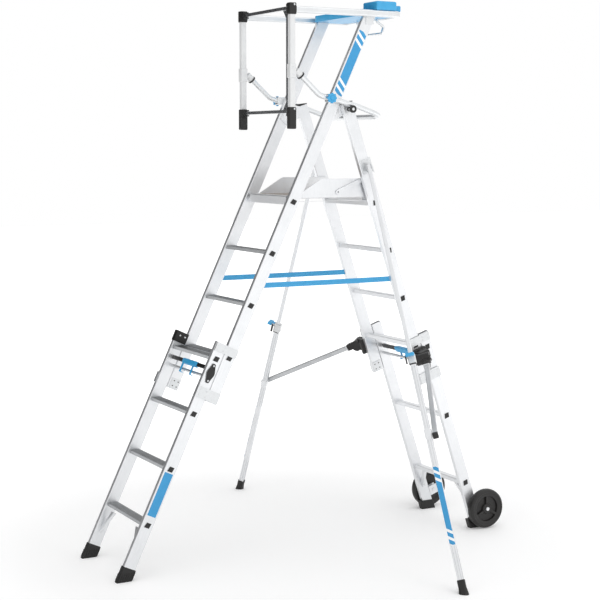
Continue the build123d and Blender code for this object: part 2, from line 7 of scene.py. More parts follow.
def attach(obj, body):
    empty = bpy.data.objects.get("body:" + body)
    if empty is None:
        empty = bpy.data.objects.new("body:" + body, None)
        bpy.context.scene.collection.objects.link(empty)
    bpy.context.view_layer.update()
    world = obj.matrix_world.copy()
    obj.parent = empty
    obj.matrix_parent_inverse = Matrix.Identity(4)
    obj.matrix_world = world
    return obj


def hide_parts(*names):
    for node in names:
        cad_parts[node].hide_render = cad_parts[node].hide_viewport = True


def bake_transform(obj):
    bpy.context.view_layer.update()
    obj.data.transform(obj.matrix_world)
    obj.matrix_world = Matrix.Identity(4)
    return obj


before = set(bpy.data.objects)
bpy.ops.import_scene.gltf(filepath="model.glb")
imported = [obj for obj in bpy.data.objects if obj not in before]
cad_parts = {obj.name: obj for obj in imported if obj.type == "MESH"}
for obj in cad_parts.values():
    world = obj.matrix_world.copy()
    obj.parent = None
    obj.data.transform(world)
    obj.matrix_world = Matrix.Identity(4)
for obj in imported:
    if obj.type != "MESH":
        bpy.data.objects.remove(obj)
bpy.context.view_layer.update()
print("frame loaded", len(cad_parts), "nodes")

mm = 0.001
frontLean = radians(25.35)  # the climbing side's lean from the vertical
rearLean = radians(-18.63)
frameShift = -89.86  # the drawing's datum, moved to the middle of the length
halfWidth = 255.0
sides = (("Near", -1), ("Far", 1))


def shifted(x, y, z):
    return Vector(((x + frameShift) * mm, y * mm, z * mm))


def leaningFrame(origin, lean, offset=0.0):
    # columns are across the stile, +Y, along the stile, and the origin, in metres
    across = Vector((cos(lean), 0, -sin(lean)))
    along = Vector((sin(lean), 0, cos(lean)))
    place = shifted(*origin) + across * offset * mm
    rows = [(across[i], (0, 1, 0)[i], along[i], place[i]) for i in range(3)]
    return Matrix(rows + [(0, 0, 0, 1)])


frontPlane = leaningFrame((-75.4, 0, 1854.8), frontLean)
frontLegPlane = leaningFrame((-75.4, 0, 1854.8), frontLean, -65.8)
rearPlane = leaningFrame((416.8, 0, 1843.5), rearLean)
rearLegPlane = leaningFrame((416.8, 0, 1843.5), rearLean, 67.0)

strutTop = Vector((360, -285, 2030))
strutFoot = Vector((336, -1210, 0))
strutAxis = (strutFoot - strutTop).normalized()
stileAxis = Vector((sin(-rearLean), 0, -cos(rearLean)))
swingAxis = strutAxis.cross(stileAxis).normalized()


def strutFrame(side):
    # columns are along the strut, across it, and the swing axis
    across = swingAxis.cross(strutAxis)
    place = shifted(*strutTop)
    rows = [(strutAxis[i], across[i], swingAxis[i], place[i]) for i in range(3)]
    near = Matrix(rows + [(0, 0, 0, 1)])
    return near if side < 0 else Matrix.Scale(-1, 4, (0, 1, 0)) @ near


# Materials


def colour(hexValue):
    parts = [int(hexValue[i:i + 2], 16) / 255 for i in (1, 3, 5)]
    linear = [p / 12.92 if p <= 0.04045 else ((p + 0.055) / 1.055) ** 2.4 for p in parts]
    return (*linear, 1.0)


def addNode(material, kind, inputs=None, **settings):
    tree = material.node_tree
    node = tree.nodes.new(kind)
    for key, value in settings.items():
        setattr(node, key, value)
    for key, value in (inputs or {}).items():
        if isinstance(value, bpy.types.NodeSocket):
            tree.links.new(value, node.inputs[key])
        else:
            node.inputs[key].default_value = value
    return node


def newMaterial(name):
    material = bpy.data.materials.new(name)
    material.use_nodes = True
    shader = material.node_tree.nodes["Principled BSDF"]
    return material, shader


def join(material, output, shader, socket):
    material.node_tree.links.new(output, shader.inputs[socket])


def rampBetween(material, factor, dark, light, low=0.3, high=0.7):
    ramp = addNode(material, "ShaderNodeValToRGB", {"Fac": factor})
    ramp.color_ramp.elements[0].position = low
    ramp.color_ramp.elements[1].position = high
    ramp.color_ramp.elements[0].color = colour(dark)
    ramp.color_ramp.elements[1].color = colour(light)
    return ramp.outputs["Color"]


def extrudedAluminium(name, lean=0.0, alongY=False, hexes=("#dcdee0", "#ecedef"), metal=0.8,
                      rough=0.34):
    # natural anodised extrusion: die lines run the length of the section, about one every millimetre
    settings = {"dieLine": 1100.0, "dieStretch": 0.02, "blotch": 9.0, "bump": 0.12, "bumpHeight": 0.0002}
    material, shader = newMaterial(name)
    place = addNode(material, "ShaderNodeTexCoord")
    turn = (0, -lean, 0) if not alongY else (radians(90), 0, 0)
    turned = addNode(material, "ShaderNodeMapping", {"Vector": place.outputs["Object"], "Rotation": turn})
    stretch = addNode(material, "ShaderNodeMapping", {
        "Vector": turned.outputs["Vector"], "Scale": (1, 1, settings["dieStretch"])})
    lines = addNode(material, "ShaderNodeTexNoise", {
        "Vector": stretch.outputs["Vector"], "Scale": settings["dieLine"], "Detail": 2.0, "Roughness": 0.5})
    cloud = addNode(material, "ShaderNodeTexNoise", {
        "Vector": place.outputs["Object"], "Scale": settings["blotch"], "Detail": 4.0, "Roughness": 0.6})
    mixed = addNode(material, "ShaderNodeMix", {
        "Factor": 0.45, "A": lines.outputs["Fac"], "B": cloud.outputs["Fac"]}, data_type="FLOAT")
    join(material, rampBetween(material, mixed.outputs["Result"], hexes[0], hexes[1]), shader, "Base Color")
    sheen = addNode(material, "ShaderNodeMapRange", {
        "Value": mixed.outputs["Result"], "To Min": rough - 0.06, "To Max": rough + 0.08})
    join(material, sheen.outputs["Result"], shader, "Roughness")
    bump = addNode(material, "ShaderNodeBump", {
        "Strength": settings["bump"], "Distance": settings["bumpHeight"], "Height": lines.outputs["Fac"]})
    join(material, bump.outputs["Normal"], shader, "Normal")
    shader.inputs["Metallic"].default_value = metal
    return material


def rolledSteel(name):
    # zinc-plated sheet: a fine spangle and small scuffs
    settings = {"spangle": 220.0, "scuff": 35.0, "bump": 0.08, "bumpHeight": 0.0002}
    material, shader = newMaterial(name)
    place = addNode(material, "ShaderNodeTexCoord")
    cells = addNode(material, "ShaderNodeTexVoronoi", {
        "Vector": place.outputs["Object"], "Scale": settings["spangle"]})
    scuffs = addNode(material, "ShaderNodeTexNoise", {
        "Vector": place.outputs["Object"], "Scale": settings["scuff"], "Detail": 6.0, "Roughness": 0.65})
    mixed = addNode(material, "ShaderNodeMix", {
        "Factor": 0.6, "A": cells.outputs["Distance"], "B": scuffs.outputs["Fac"]}, data_type="FLOAT")
    join(material, rampBetween(material, mixed.outputs["Result"], "#cfd1d3", "#dfe1e2", 0.2, 0.8), shader,
         "Base Color")
    rough = addNode(material, "ShaderNodeMapRange", {
        "Value": mixed.outputs["Result"], "To Min": 0.34, "To Max": 0.42})
    join(material, rough.outputs["Result"], shader, "Roughness")
    bump = addNode(material, "ShaderNodeBump", {
        "Strength": settings["bump"], "Distance": settings["bumpHeight"], "Height": scuffs.outputs["Fac"]})
    join(material, bump.outputs["Normal"], shader, "Normal")
    shader.inputs["Metallic"].default_value = 0.85
    return material


def mouldedPlastic(name, dark, light, rough, grain=900.0, bumpHeight=0.00025, coat=0.0):
    # injection-moulded part: spark-eroded grain and slightly shinier high spots
    material, shader = newMaterial(name)
    place = addNode(material, "ShaderNodeTexCoord")
    speckle = addNode(material, "ShaderNodeTexNoise", {
        "Vector": place.outputs["Object"], "Scale": grain, "Detail": 3.0, "Roughness": 0.6})
    wear = addNode(material, "ShaderNodeTexNoise", {
        "Vector": place.outputs["Object"], "Scale": 24.0, "Detail": 5.0, "Roughness": 0.6})
    mixed = addNode(material, "ShaderNodeMix", {
        "Factor": 0.5, "A": speckle.outputs["Fac"], "B": wear.outputs["Fac"]}, data_type="FLOAT")
    join(material, rampBetween(material, mixed.outputs["Result"], dark, light), shader, "Base Color")
    sheen = addNode(material, "ShaderNodeMapRange", {
        "Value": wear.outputs["Fac"], "To Min": rough - 0.08, "To Max": rough + 0.1})
    join(material, sheen.outputs["Result"], shader, "Roughness")
    bump = addNode(material, "ShaderNodeBump", {
        "Strength": 0.25, "Distance": bumpHeight, "Height": speckle.outputs["Fac"]})
    join(material, bump.outputs["Normal"], shader, "Normal")
    shader.inputs["Coat Weight"].default_value = coat
    shader.inputs["Coat Roughness"].default_value = 0.2
    return material


def phenolicPlywood(name):
    # film-faced birch ply: a pressed wire-mesh grid every 6 mm under a taupe resin film
    settings = {"grid": 6.0 * mm, "grain": 40.0, "bumpHeight": 0.0006}
    material, shader = newMaterial(name)
    place = addNode(material, "ShaderNodeTexCoord")
    waves = []
    for turn in (0.0, radians(90)):
        spun = addNode(material, "ShaderNodeMapping", {
            "Vector": place.outputs["Object"], "Rotation": (0, 0, turn)})
        waves.append(addNode(material, "ShaderNodeTexWave", {
            "Vector": spun.outputs["Vector"], "Scale": 1 / settings["grid"] / 3.2, "Distortion": 0.0},
            bands_direction="X"))
    mesh = addNode(material, "ShaderNodeMath", {
        0: waves[0].outputs["Fac"], 1: waves[1].outputs["Fac"]}, operation="MAXIMUM")
    grain = addNode(material, "ShaderNodeTexNoise", {
        "Vector": place.outputs["Object"], "Scale": settings["grain"], "Detail": 6.0, "Roughness": 0.6})
    mixed = addNode(material, "ShaderNodeMix", {
        "Factor": 0.55, "A": mesh.outputs["Value"], "B": grain.outputs["Fac"]}, data_type="FLOAT")
    join(material, rampBetween(material, mixed.outputs["Result"], "#7c7067", "#94887d", 0.2, 0.9), shader,
         "Base Color")
    bump = addNode(material, "ShaderNodeBump", {
        "Strength": 0.6, "Distance": settings["bumpHeight"], "Height": mesh.outputs["Value"]})
    join(material, bump.outputs["Normal"], shader, "Normal")
    shader.inputs["Roughness"].default_value = 0.45
    return material


def wovenWebbing(name):
    # plain-woven polyester: ribs across the band every 1.6 mm, drawn a little coarse so that they show
    material, shader = newMaterial(name)
    place = addNode(material, "ShaderNodeUVMap", uv_map="band")
    ribs = addNode(material, "ShaderNodeTexWave", {
        "Vector": place.outputs["UV"], "Scale": 95.0, "Distortion": 0.4}, bands_direction="X")
    warp = addNode(material, "ShaderNodeTexWave", {
        "Vector": place.outputs["UV"], "Scale": 60.0, "Distortion": 0.2}, bands_direction="Y")
    weave = addNode(material, "ShaderNodeMath", {0: ribs.outputs["Fac"], 1: warp.outputs["Fac"]},
                    operation="MULTIPLY")
    join(material, rampBetween(material, weave.outputs["Value"], "#3494c8", "#52b0e0", 0.1, 0.8), shader,
         "Base Color")
    bump = addNode(material, "ShaderNodeBump", {
        "Strength": 0.7, "Distance": 0.0005, "Height": weave.outputs["Value"]})
    join(material, bump.outputs["Normal"], shader, "Normal")
    shader.inputs["Roughness"].default_value = 0.75
    shader.inputs["Sheen Weight"].default_value = 0.25
    return material


aluminium = {
    "front": extrudedAluminium("anodised aluminium, climbing side", frontLean),
    "rear": extrudedAluminium("anodised aluminium, support side", rearLean),
    "cross": extrudedAluminium("anodised aluminium, cross bars", 0.0, True),
    "upright": extrudedAluminium("anodised aluminium, uprights", 0.0),
    "round": extrudedAluminium(
        "anodised aluminium, bent rails", 0.0, False, ("#d8dadc", "#e8eaeb"), 0.8, 0.3),
    # the treads get darker greys than the stiles: painted shade and painted reflection of dark surroundings
    "tread": extrudedAluminium(
        "mill-finish aluminium, treads", 0.0, True, ("#929496", "#aeb0b2"), 0.95, 0.34),
    "post": extrudedAluminium(
        "satin anodised aluminium, posts", 0.0, False, ("#d2d3d4", "#e0e1e1"), 0.12, 0.5),
    "gate": extrudedAluminium(
        "bright anodised aluminium, gate", 0.0, False, ("#a8aaac", "#c0c2c4"), 0.95, 0.25),
    # the braces get darker greys than the uprights: painted shade for their shaded side
    "brace": extrudedAluminium(
        "mill-finish aluminium, braces", 0.0, False, ("#b9bbbd", "#cfd1d3"), 0.9, 0.34),
}
steel = rolledSteel("zinc-plated steel")
blackNylon = mouldedPlastic("glass-filled nylon, black", "#0b0a0a", "#191817", 0.38)
blueAbs = mouldedPlastic("ABS, sky blue", "#2c94c9", "#41a9db", 0.34, 700.0, 0.00015, 0.1)
blackRubber = mouldedPlastic("rubber, black", "#0c0b0b", "#181716", 0.5, 500.0, 0.0004)
wheelRubber = mouldedPlastic("polypropylene and rubber, black", "#121110", "#211f1e", 0.46, 420.0, 0.0003)
deckPly = phenolicPlywood("phenolic plywood")
webbing = wovenWebbing("polyester webbing, sky blue")

nodeMaterials = {
    "front_stiles": aluminium["front"], "front_leg_stiles": aluminium["front"],
    "rear_stiles": aluminium["rear"], "rear_leg_stiles": aluminium["rear"],
    "front_upper_treads": aluminium["tread"], "front_leg_treads": aluminium["tread"],
    "rear_cross_bars": aluminium["cross"], "rear_leg_bars": aluminium["cross"],
    "platform_pivot_rod": aluminium["cross"], "guard_posts": aluminium["post"],
    "gate_frame": aluminium["gate"], "guard_top_rail": aluminium["round"],
    "guard_mid_rail": aluminium["round"], "toe_boards": aluminium["upright"],
    "platform_frame": aluminium["cross"], "platform_links": aluminium["upright"],
    "front_knee_braces": aluminium["front"], "rear_knee_braces": aluminium["rear"],
    "wheel_brackets": aluminium["rear"], "mid_rail_tees": aluminium["post"],
    "front_section_guides": steel, "rear_section_guides": steel, "front_leg_guides": steel,
    "rear_leg_guides": steel, "frame_hinge_plates": aluminium["upright"], "tray_hanger": aluminium["round"],
    "stabiliser_brackets": steel, "guard_rail_clamps": aluminium["round"],
    "platform_deck": deckPly, "tool_tray": blueAbs, "guard_knob_near": blueAbs, "guard_knob_far": blueAbs,
    "clamp_lever_near": blueAbs, "clamp_lever_far": blueAbs, "guard_blocks": blackNylon,
    "frame_hinge_caps": blackNylon, "front_upper_plugs": blackNylon, "rear_upper_plugs": blackNylon,
    "front_leg_plugs": blackNylon, "rear_leg_plugs": blackNylon, "lock_covers": blackNylon,
    "brace_blocks": blackNylon, "front_release": blackNylon, "rear_release": blackNylon,
    "stabiliser_clamp_near": aluminium["post"], "stabiliser_clamp_far": aluminium["post"],
    "front_feet": blackRubber, "rear_feet": blackRubber, "outrigger_foot_near": blackRubber,
    "outrigger_foot_far": blackRubber, "wheel_near": wheelRubber, "wheel_far": wheelRubber,
    "spreader_straps": webbing,
}
for label in ("near", "far"):
    for part in ("stabiliser_strut", "outrigger_tube"):
        nodeMaterials[f"{part}_{label}"] = aluminium["upright"]
    nodeMaterials[f"stabiliser_brace_{label}"] = aluminium["brace"]
for name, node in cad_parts.items():
    node.data.materials.clear()
    node.data.materials.append(nodeMaterials[name])
print("materials on", len(nodeMaterials), "nodes")


# Making and placing pieces


def addPiece(name, bm, material, body, place=None, side=-1, smoothAngle=35.0):
    # bm is in millimetres in the frame `place`; a far-side copy is the near one mirrored across the middle
    matrix = (place or shiftMatrix) @ Matrix.Scale(mm, 4)
    if side > 0:
        matrix = Matrix.Scale(-1, 4, (0, 1, 0)) @ matrix
    bmesh.ops.remove_doubles(bm, verts=bm.verts, dist=0.001)
    bmesh.ops.transform(bm, matrix=matrix, verts=bm.verts)
    bmesh.ops.recalc_face_normals(bm, faces=bm.faces)
    mesh = bpy.data.meshes.new(name)
    bm.to_mesh(mesh)
    bm.free()
    mesh.materials.append(material)
    mesh.polygons.foreach_set("use_smooth", [True] * len(mesh.polygons))
    mesh.set_sharp_from_angle(angle=radians(smoothAngle))
    piece = bpy.data.objects.new(name, mesh)
    bpy.context.scene.collection.objects.link(piece)
    if body:
        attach(piece, body)
    return piece


shiftMatrix = Matrix.Translation(shifted(0, 0, 0))


def addBlock(bm, x, y, z, bevel=0.0, segments=2):
    # a box between two corners, with every edge rounded when a bevel is given
    made = bmesh.ops.create_cube(bm, size=1.0)["verts"]
    middle = Vector([(low + high) / 2 for low, high in (x, y, z)])
    size = [high - low for low, high in (x, y, z)]
    for vert in made:
        vert.co = Vector([vert.co[axis] * size[axis] for axis in range(3)]) + middle
    if bevel:
        edges = list({edge for vert in made for edge in vert.link_edges})
        bmesh.ops.bevel(bm, geom=edges, offset=bevel, segments=segments, profile=0.5, affect="EDGES",
                        material=-1)


def addDome(bm, place, axis, radius, height):
    # a domed rivet or pan-head screw: the upper half of a flattened ball
    made = bmesh.ops.create_uvsphere(bm, u_segments=16, v_segments=8, radius=1.0)["verts"]
    turn = Vector((0, 0, 1)).rotation_difference(Vector(axis)).to_matrix().to_4x4()
    for vert in made:
        vert.co.z = max(vert.co.z, -0.2)
    squash = Matrix.Diagonal((radius, radius, height, 1.0))
    bmesh.ops.transform(bm, matrix=Matrix.Translation(place) @ turn @ squash, verts=made)


def addLathe(bm, outline, place, axis, steps=48):
    # spins a (radius, height) outline about an axis
    turn = Vector((0, 0, 1)).rotation_difference(Vector(axis)).to_matrix().to_4x4()
    verts = [bm.verts.new((radius, 0, height)) for radius, height in outline]
    edges = [bm.edges.new(pair) for pair in zip(verts, verts[1:])]
    made = bmesh.ops.spin(bm, geom=verts + edges, cent=(0, 0, 0), axis=(0, 0, 1), angle=2 * pi, steps=steps,
                          use_merge=True)
    island = set(verts) | {item for item in made["geom_last"] if isinstance(item, bmesh.types.BMVert)}
    queue = list(island)
    while queue:
        for edge in queue.pop().link_edges:
            for vert in edge.verts:
                if vert not in island:
                    island.add(vert)
                    queue.append(vert)
    bmesh.ops.transform(bm, matrix=Matrix.Translation(place) @ turn, verts=list(island))


# Decals: blue film with white slanted stripes and no lettering

decal = {"width": 50.0, "thick": 0.35, "lift": 0.06, "stripe": 15.0, "band": 22.0}
vinylBlue = mouldedPlastic("vinyl film, sky blue", "#2a8cc3", "#389acf", 0.36, 260.0, 0.00005, 0.1)
vinylWhite = mouldedPlastic("vinyl film, white", "#eef0f1", "#f6f7f7", 0.36, 260.0, 0.00005, 0.1)


def addDecal(name, body, place, face, low, high, width, slant, bands, side=-1, along=False):
    # `face` is the height of the surface it is stuck to, `low` and `high` its ends along the section,
    # `bands` the slanted stripes at each end; `along` is for a tube drawn along its own X
    half = width / 2
    rows = []
    start, end = low, high
    for _ in range(bands):
        rows += [(start, start + decal["band"]), (end - decal["band"], end)]
        start += decal["band"] + decal["stripe"]
        end -= decal["band"] + decal["stripe"]
    rows.append((start, end))
    for label, spans, top, film in (("Backing", [(low, high)], decal["thick"], vinylWhite),
                                    ("Film", rows, decal["thick"] + decal["lift"], vinylBlue)):
        bm = bmesh.new()
        for a, b in spans:
            if along:
                addBlock(bm, (a, b), (face - top, face), (-half, half))
            else:
                addBlock(bm, (-half, half), (face - top, face), (a, b))
        for vert in bm.verts:
            if along:
                vert.co.x += slant * vert.co.z / half
            else:
                vert.co.z += slant * vert.co.x / half
        if slant:  # the outermost ends are cut square
            for limit, outward in ((low, -1), (high, 1)):
                normal = (outward, 0, 0) if along else (0, 0, outward)
                spot = (limit, 0, 0) if along else (0, 0, limit)
                faces = bm.verts[:] + bm.edges[:] + bm.faces[:]
                cut = bmesh.ops.bisect_plane(bm, geom=faces, plane_co=spot, plane_no=normal, clear_outer=True)
                edges = [item for item in cut["geom_cut"] if isinstance(item, bmesh.types.BMEdge)]
                bmesh.ops.holes_fill(bm, edges=edges)
        addPiece(name + label, bm, film, body, place, side)


for label, side in sides:
    addDecal("guardStileDecal" + label, "front_frame", frontPlane, -halfWidth, 606, 966, decal["width"],
             -13.5, 2, side)
    addDecal("legStileDecal" + label, "front_leg", frontLegPlane, -halfWidth, -1738, -1508, 48, 0, 0, side)
    addDecal("outriggerDecal" + label, "outrigger_" + label.lower(), strutFrame(-1), -14.5, 1606, 1995,
             27, 9.5, 2, side, True)
print("decals")


# Spreader straps: woven polyester webbing, stitched at both ends

strap = {"height": 1433.9, "width": 25.0, "thick": 2.2, "front": -238.4, "rear": 520.2, "y": 237.2,
         "segments": 96, "sag": 1.2, "crown": 0.35}


def addStrap(label, side):
    bm = bmesh.new()
    length = strap["rear"] - strap["front"]
    bmesh.ops.create_grid(bm, x_segments=strap["segments"], y_segments=6, size=0.5)
    layer = bm.loops.layers.uv.new("band")
    for vert in bm.verts:
        u, v = vert.co.x + 0.5, vert.co.y
        rise = v * strap["width"] - strap["sag"] * sin(pi * u)
        crown = strap["crown"] * cos(pi * v)
        vert.co = Vector((strap["front"] + u * length, -strap["y"] - crown, strap["height"] + rise))
        lean = tan(frontLean) if u < 0.5 else tan(rearLean)
        reach = abs(2 * u - 1)
        vert.co.x += lean * v * strap["width"] * reach
    for face in bm.faces:
        for loop in face.loops:
            loop[layer].uv = ((loop.vert.co.x - strap["front"]) * mm, (loop.vert.co.z - strap["height"]) * mm)
    bmesh.ops.solidify(bm, geom=list(bm.faces), thickness=strap["thick"])
    piece = addPiece("spreaderStrap" + label, bm, webbing, None, shiftMatrix, side)
    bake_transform(piece)
    return piece


straps = [addStrap("Near", -1), addStrap("Far", 1)]
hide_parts("spreader_straps")
print("straps")


# Wheels: a solid tyre on a dished centre with three pockets, all in one black moulding

wheelShape = {"radius": 110.4, "inner": 262.6, "outer": 307.9, "centre": (1136.0, 113.0)}


def addWheel(label, side):
    r = wheelShape["radius"]
    half = (wheelShape["outer"] - wheelShape["inner"]) / 2
    section = [(11, -half + 2), (20, -half), (25, -half + 2), (27, -half + 9), (74, -half + 11),
               (80, -half + 6), (84, -half + 1.5), (r - 14, -half), (r - 7, -half + 2),
               (r - 2.5, -half + 7), (r - 0.8, -half + 13), (r, -half + 18), (r, half - 18),
               (r - 0.8, half - 13), (r - 2.5, half - 7), (r - 7, half - 2), (r - 14, half),
               (92, half - 1.0), (90, half - 3), (74, half - 4), (71, half - 6), (69, half - 16),
               (44, half - 17), (30, half - 16), (28, half - 5), (25, half - 2), (14, half - 1),
               (11, half - 2), (11, -half + 2)]
    bm = bmesh.new()
    addLathe(bm, section, (0, 0, 0), (0, 0, 1), 96)
    middle = (wheelShape["inner"] + wheelShape["outer"]) / 2
    centre = shifted(wheelShape["centre"][0], -middle, wheelShape["centre"][1])
    place = Matrix.Translation(centre) @ Matrix.Rotation(radians(90), 4, "X")
    ribs = bmesh.new()
    for turn in range(0, 360, 120):
        rib = bmesh.new()
        addBlock(rib, (24, 72), (-7, 7), (half - 19, half - 5), 2.5, 2)
        spun = Matrix.Rotation(radians(turn + 90), 3, "Z")
        bmesh.ops.rotate(rib, verts=rib.verts, cent=(0, 0, 0), matrix=spun)
        scratch = bpy.data.meshes.new("rib")
        rib.to_mesh(scratch)
        rib.free()
        ribs.from_mesh(scratch)
        bpy.data.meshes.remove(scratch)
    piece = addPiece("wheel" + label, bm, wheelRubber, "wheel_" + label.lower(), place, side)
    addPiece("wheelRibs" + label, ribs, wheelRubber, "wheel_" + label.lower(), place, side)
    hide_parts("wheel_" + label.lower())
    bm = bmesh.new()
    addLathe(bm, [(0, half + 3.6), (6, half + 3.4), (9, half + 2), (10, half - 1), (10, -half), (0, -half)],
             (0, 0, 0), (0, 0, 1), 32)
    addPiece("axleEnd" + label, bm, steel, "rear_leg", place, side)


for label, side in sides:
    addWheel(label, side)
print("wheels")


# Release bars: a black bar with a blue grip and two hooks that catch the lock rod

releaseBar = {"reach": 222.0, "grip": 76.0, "hookGap": 62.0, "hookWidth": 16.0}


def addRelease(node, place, reach, flip):
    # flip mirrors the hooks to the other face of the section
    bar = bmesh.new()
    addBlock(bar, (-7.5, 7.5), (-releaseBar["reach"], releaseBar["reach"]), (reach - 13, reach + 8), 2.5, 3)
    piece = addPiece(node + "Bar", bar, blackNylon, node, place)
    blue = bmesh.new()
    grip, sleeve = releaseBar["grip"], releaseBar["grip"] + 14
    addBlock(blue, (-12.5, 12.5), (-grip, grip), (reach - 19, reach + 11), 5.0, 4)
    addBlock(blue, (-8.6, 8.6), (-sleeve, sleeve), (reach - 14.5, reach + 9), 2.5, 3)
    for y in (-releaseBar["hookGap"], releaseBar["hookGap"]):
        half = releaseBar["hookWidth"] / 2
        near, away = sorted((-flip * 13.0, -flip * 8.2))
        addBlock(blue, (near, away), (y - half, y + half), (reach - 63, reach - 8), 1.6, 2)
        near, away = sorted((-flip * 13.0, flip * 4.0))
        addBlock(blue, (near, away), (y - half, y + half), (reach - 66, reach - 62), 1.4, 2)
    addPiece(node + "Grip", blue, blueAbs, node, place)
    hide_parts(node)


addRelease("front_release", frontLegPlane, -946.0, 1)
addRelease("rear_release", rearLegPlane, -909.8, -1)
print("release bars")


# Black rings at the mid rail's sockets

ring = {"start": (-70, -274, 2517.7), "bend": (66, -274, 2397), "reach": 36.0, "inner": 14.2, "outer": 21.5}


def addRing(label, side):
    start = Vector(ring["start"])
    axis = (Vector(ring["bend"]) - start).normalized()
    inner, outer = ring["inner"], ring["outer"]
    outline = [(inner, -4), (outer - 1, -4), (outer, -3), (outer, 3), (outer - 1.5, 5), (inner, 6),
               (inner, -4)]
    bm = bmesh.new()
    addLathe(bm, outline, start + axis * ring["reach"], axis)
    addPiece("midRailRing" + label, bm, blackNylon, "front_frame", shiftMatrix, side)


for label, side in sides:
    addRing(label, side)
print("rings")


# Stabilisers: the brace's sleeve, band and cap, the tube's ribs, and the clamp's cam and ring

brace = {"root": (685.69, -344.99, 1005.0), "reach": 1440.0, "layer": 34.0, "sleeve": (34, 80), "half": 17.5,
         "ribs": 3, "ribStep": 13, "ribWide": 6, "ribStand": 1.6, "cap": (13, 34), "capHalf": 14.5}
flute = {"offset": 6.0, "half": 0.8, "low": 14.2, "high": 15.2,
         "spans": ((1090, 1412), (1468, 1602), (1999, 2180))}
clamp = {"cam": ((1030, 1076), (-31, -20), (-30, -22.4)), "ring": (1074.6, 1081), "ringHalf": 17.5}
braceRoot = Vector(brace["root"])
braceTip = strutTop + strutAxis * brace["reach"] + swingAxis * brace["layer"]
braceLength = (braceTip - braceRoot).length


def braceFrame():
    # columns are along the brace, across it, and the side it swings on
    along = (braceTip - braceRoot).normalized()
    up = (swingAxis - along * swingAxis.dot(along)).normalized()
    cross = up.cross(along)
    place = shifted(*braceRoot)
    return Matrix([(along[i], cross[i], up[i], place[i]) for i in range(3)] + [(0, 0, 0, 1)])


def addBlocks(name, material, body, place, side, blocks):
    bm = bmesh.new()
    for block in blocks:
        addBlock(bm, *block)
    addPiece(name, bm, material, body, place, side)


def addStabiliserFittings(label, side):
    braceBody, outrigger = "brace_" + label.lower(), "outrigger_" + label.lower()
    half = (-brace["half"], brace["half"])
    stand = (half[0] - brace["ribStand"], half[1] + brace["ribStand"])
    low, high = brace["sleeve"]
    starts = [low + 8 + brace["ribStep"] * row for row in range(brace["ribs"])]
    sleeve = [((low, high), half, half, 3.5, 3)]
    sleeve += [((start, start + brace["ribWide"]), stand, stand, 2.0, 2) for start in starts]
    addBlocks("braceSleeve" + label, blackNylon, braceBody, braceFrame(), side, sleeve)
    band = [((high + 0.5, high + 6), half, half, 2.0, 2)]
    addBlocks("braceBand" + label, steel, braceBody, braceFrame(), side, band)
    capSpan = (braceLength + brace["cap"][0], braceLength + brace["cap"][1])
    capSide = (-brace["capHalf"], brace["capHalf"])
    cap = [(capSpan, capSide, capSide, 3.0, 3)]
    addBlocks("braceCap" + label, blackNylon, braceBody, braceFrame(), side, cap)
    flutes = []
    for offset in (-flute["offset"], flute["offset"]):
        width = (offset - flute["half"], offset + flute["half"])
        for face in (-1, 1):
            stand = sorted((face * flute["low"], face * flute["high"]))
            for span in flute["spans"]:
                flutes += [(span, width, stand, 0.4, 1), (span, stand, width, 0.4, 1)]
    # the flutes use the brace aluminium, whose darker grey is painted shade
    addBlocks("outriggerFlutes" + label, aluminium["brace"], outrigger, strutFrame(-1), side, flutes)
    addBlocks("clampCam" + label, blackNylon, outrigger, strutFrame(-1), side, [(*clamp["cam"], 2.0, 2)])
    ringSide = (-clamp["ringHalf"], clamp["ringHalf"])
    addBlocks("clampRing" + label, blackNylon, outrigger, strutFrame(-1), side,
              [(clamp["ring"], ringSide, ringSide, 2.5, 2)])


for label, side in sides:
    addStabiliserFittings(label, side)
print("stabiliser fittings")


# Rivets, screws, and flat black domes as painted shade in the guide plates' drilled holes


def addRivets(name, body, place, spots, material=None, side=-1):
    # each spot is a point, an outward direction, a radius and a height
    bm = bmesh.new()
    for point, axis, radius, height in spots:
        addDome(bm, point, axis, radius, height)
    addPiece(name, bm, material or steel, body, place, side)


def spotsOn(face, outward, columns, rows, radius, height):
    return [((u, face, w), (0, outward, 0), radius, height) for u in columns for w in rows]


